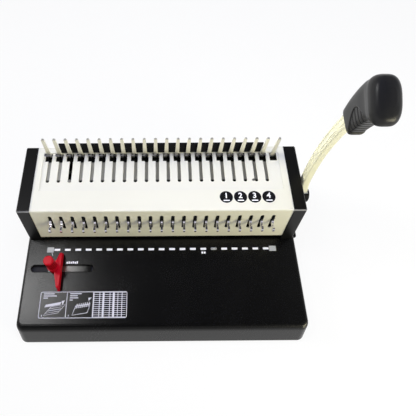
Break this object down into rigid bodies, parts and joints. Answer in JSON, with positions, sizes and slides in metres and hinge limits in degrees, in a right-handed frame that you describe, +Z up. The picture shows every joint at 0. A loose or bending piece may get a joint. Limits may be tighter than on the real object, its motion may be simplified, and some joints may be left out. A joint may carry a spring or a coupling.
{
  "type": "comb binding machine",
  "caption": "Desktop comb binder: lever-driven punch press with selector pulls, hooks and pegs that open a plastic comb, paper tray, edge guide and chip drawer.",
  "frame": {"origin": "on the table plane, under the centre of the base, at the middle foot's lower face", "axes": "+X to the right along the row of holes, seen from the user's side; +Y away from the user, towards the comb pegs; +Z up"},
  "size_m": [0.388, 0.24, 0.2845],
  "materials": {
    "black_plastic": "fine-grained moulded plastic, satin",
    "grip_plastic": "satin moulded grip",
    "trim_plastic": "smooth moulded trim",
    "foot_rubber": "matt rubber",
    "cream_paint": "fine powder coat on steel",
    "bare_steel": "plain zinc-plated steel",
    "fastener_steel": "plated screws and springs",
    "bright_steel": "nickel-plated steel",
    "bush_bronze": "sintered bronze",
    "red_plastic": "glossy moulded plastic"
  },
  "bodies": {
    "base": {"base_tray": "black_plastic", "bottom_plate": "black_plastic", "rubber_feet": "foot_rubber", "die_plate": "bare_steel", "punch_guide": "bare_steel", "back_gauge": "bare_steel", "left_side_frame": "bare_steel", "right_side_frame": "bare_steel", "left_end_cap": "black_plastic", "right_end_cap": "black_plastic", "housing_cover": "cream_paint", "slot_plate": "cream_paint", "rear_cover": "cream_paint", "peg_rail": "bare_steel", "comb_pegs": "bright_steel", "comb_backrest": "trim_plastic", "guide_posts": "bare_steel", "shaft_bushes": "bush_bronze", "hook_studs": "bare_steel", "frame_screws": "fastener_steel", "case_screws": "fastener_steel", "return_springs": "fastener_steel"},
    "lever": {"main_shaft": "bare_steel", "press_pinions": "bare_steel", "hook_sectors": "bare_steel", "handle_lever": "cream_paint", "handle_grip": "grip_plastic", "hub_collar": "trim_plastic", "hub_cap": "trim_plastic"},
    "press": {"press_bar": "bare_steel", "punch_carrier": "bare_steel", "punches": "bright_steel"},
    "hooks": {"hook_plate": "bare_steel", "comb_hooks": "bright_steel"},
    "edge_guide": {"edge_guide": "red_plastic", "guide_slide": "bare_steel"},
    "guide_knob": {"guide_knob": "red_plastic"},
    "chip_tray": {"chip_tray": "black_plastic"},
    "selector_01": {"selector_01": "bright_steel"},
    "selector_02": {"selector_02": "bright_steel"},
    "selector_03": {"selector_03": "bright_steel"},
    "selector_04": {"selector_04": "bright_steel"},
    "selector_05": {"selector_05": "bright_steel"},
    "selector_06": {"selector_06": "bright_steel"},
    "selector_07": {"selector_07": "bright_steel"},
    "selector_08": {"selector_08": "bright_steel"},
    "selector_09": {"selector_09": "bright_steel"},
    "selector_10": {"selector_10": "bright_steel"},
    "selector_11": {"selector_11": "bright_steel"},
    "selector_12": {"selector_12": "bright_steel"},
    "selector_13": {"selector_13": "bright_steel"},
    "selector_14": {"selector_14": "bright_steel"},
    "selector_15": {"selector_15": "bright_steel"},
    "selector_16": {"selector_16": "bright_steel"},
    "selector_17": {"selector_17": "bright_steel"},
    "selector_18": {"selector_18": "bright_steel"},
    "selector_19": {"selector_19": "bright_steel"},
    "selector_20": {"selector_20": "bright_steel"},
    "selector_21": {"selector_21": "bright_steel"}
  },
  "joints": [
    {"name": "lever_swing", "type": "hinge", "parent": "base", "child": "lever", "pos_m": [0, 0.0587, 0.07], "axis": [1, 0, 0], "range_deg": [0, 80], "stiffness_Nm_per_rad": 0.8, "springref_deg": -28.65},
    {"name": "press_slide", "type": "slide", "parent": "base", "child": "press", "axis": [0, 0, -1], "range_m": [0, 0.0112], "deforming": ["return_springs"]},
    {"name": "hook_slide", "type": "slide", "parent": "base", "child": "hooks", "axis": [0, -1, 0], "range_m": [0, 0.028]},
    {"name": "guide_slide_x", "type": "slide", "parent": "base", "child": "edge_guide", "axis": [1, 0, 0], "range_m": [-0.027, 0.047]},
    {"name": "knob_turn", "type": "hinge", "parent": "edge_guide", "child": "guide_knob", "pos_m": [-0.1435, -0.0295, 0.0535], "axis": [0, 0, 1], "range_deg": [0, 180]},
    {"name": "drawer_slide", "type": "slide", "parent": "base", "child": "chip_tray", "axis": [1, 0, 0], "range_m": [0, 0.28]},
    {"name": "selector_01_pull", "type": "slide", "parent": "press", "child": "selector_01", "axis": [0, -1, 0], "range_m": [0, 0.008]},
    {"name": "selector_02_pull", "type": "slide", "parent": "press", "child": "selector_02", "axis": [0, -1, 0], "range_m": [0, 0.008]},
    {"name": "selector_03_pull", "type": "slide", "parent": "press", "child": "selector_03", "axis": [0, -1, 0], "range_m": [0, 0.008]},
    {"name": "selector_04_pull", "type": "slide", "parent": "press", "child": "selector_04", "axis": [0, -1, 0], "range_m": [0, 0.008]},
    {"name": "selector_05_pull", "type": "slide", "parent": "press", "child": "selector_05", "axis": [0, -1, 0], "range_m": [0, 0.008]},
    {"name": "selector_06_pull", "type": "slide", "parent": "press", "child": "selector_06", "axis": [0, -1, 0], "range_m": [0, 0.008]},
    {"name": "selector_07_pull", "type": "slide", "parent": "press", "child": "selector_07", "axis": [0, -1, 0], "range_m": [0, 0.008]},
    {"name": "selector_08_pull", "type": "slide", "parent": "press", "child": "selector_08", "axis": [0, -1, 0], "range_m": [0, 0.008]},
    {"name": "selector_09_pull", "type": "slide", "parent": "press", "child": "selector_09", "axis": [0, -1, 0], "range_m": [0, 0.008]},
    {"name": "selector_10_pull", "type": "slide", "parent": "press", "child": "selector_10", "axis": [0, -1, 0], "range_m": [0, 0.008]},
    {"name": "selector_11_pull", "type": "slide", "parent": "press", "child": "selector_11", "axis": [0, -1, 0], "range_m": [0, 0.008]},
    {"name": "selector_12_pull", "type": "slide", "parent": "press", "child": "selector_12", "axis": [0, -1, 0], "range_m": [0, 0.008]},
    {"name": "selector_13_pull", "type": "slide", "parent": "press", "child": "selector_13", "axis": [0, -1, 0], "range_m": [0, 0.008]},
    {"name": "selector_14_pull", "type": "slide", "parent": "press", "child": "selector_14", "axis": [0, -1, 0], "range_m": [0, 0.008]},
    {"name": "selector_15_pull", "type": "slide", "parent": "press", "child": "selector_15", "axis": [0, -1, 0], "range_m": [0, 0.008]},
    {"name": "selector_16_pull", "type": "slide", "parent": "press", "child": "selector_16", "axis": [0, -1, 0], "range_m": [0, 0.008]},
    {"name": "selector_17_pull", "type": "slide", "parent": "press", "child": "selector_17", "axis": [0, -1, 0], "range_m": [0, 0.008]},
    {"name": "selector_18_pull", "type": "slide", "parent": "press", "child": "selector_18", "axis": [0, -1, 0], "range_m": [0, 0.008]},
    {"name": "selector_19_pull", "type": "slide", "parent": "press", "child": "selector_19", "axis": [0, -1, 0], "range_m": [0, 0.008]},
    {"name": "selector_20_pull", "type": "slide", "parent": "press", "child": "selector_20", "axis": [0, -1, 0], "range_m": [0, 0.008]},
    {"name": "selector_21_pull", "type": "slide", "parent": "press", "child": "selector_21", "axis": [0, -1, 0], "range_m": [0, 0.008]}
  ],
  "couplings": [
    {"joint": "press_slide", "follows": "lever_swing", "m_per_rad": 0.008},
    {"joint": "hook_slide", "follows": "lever_swing", "m_per_rad": 0.02}
  ]
}
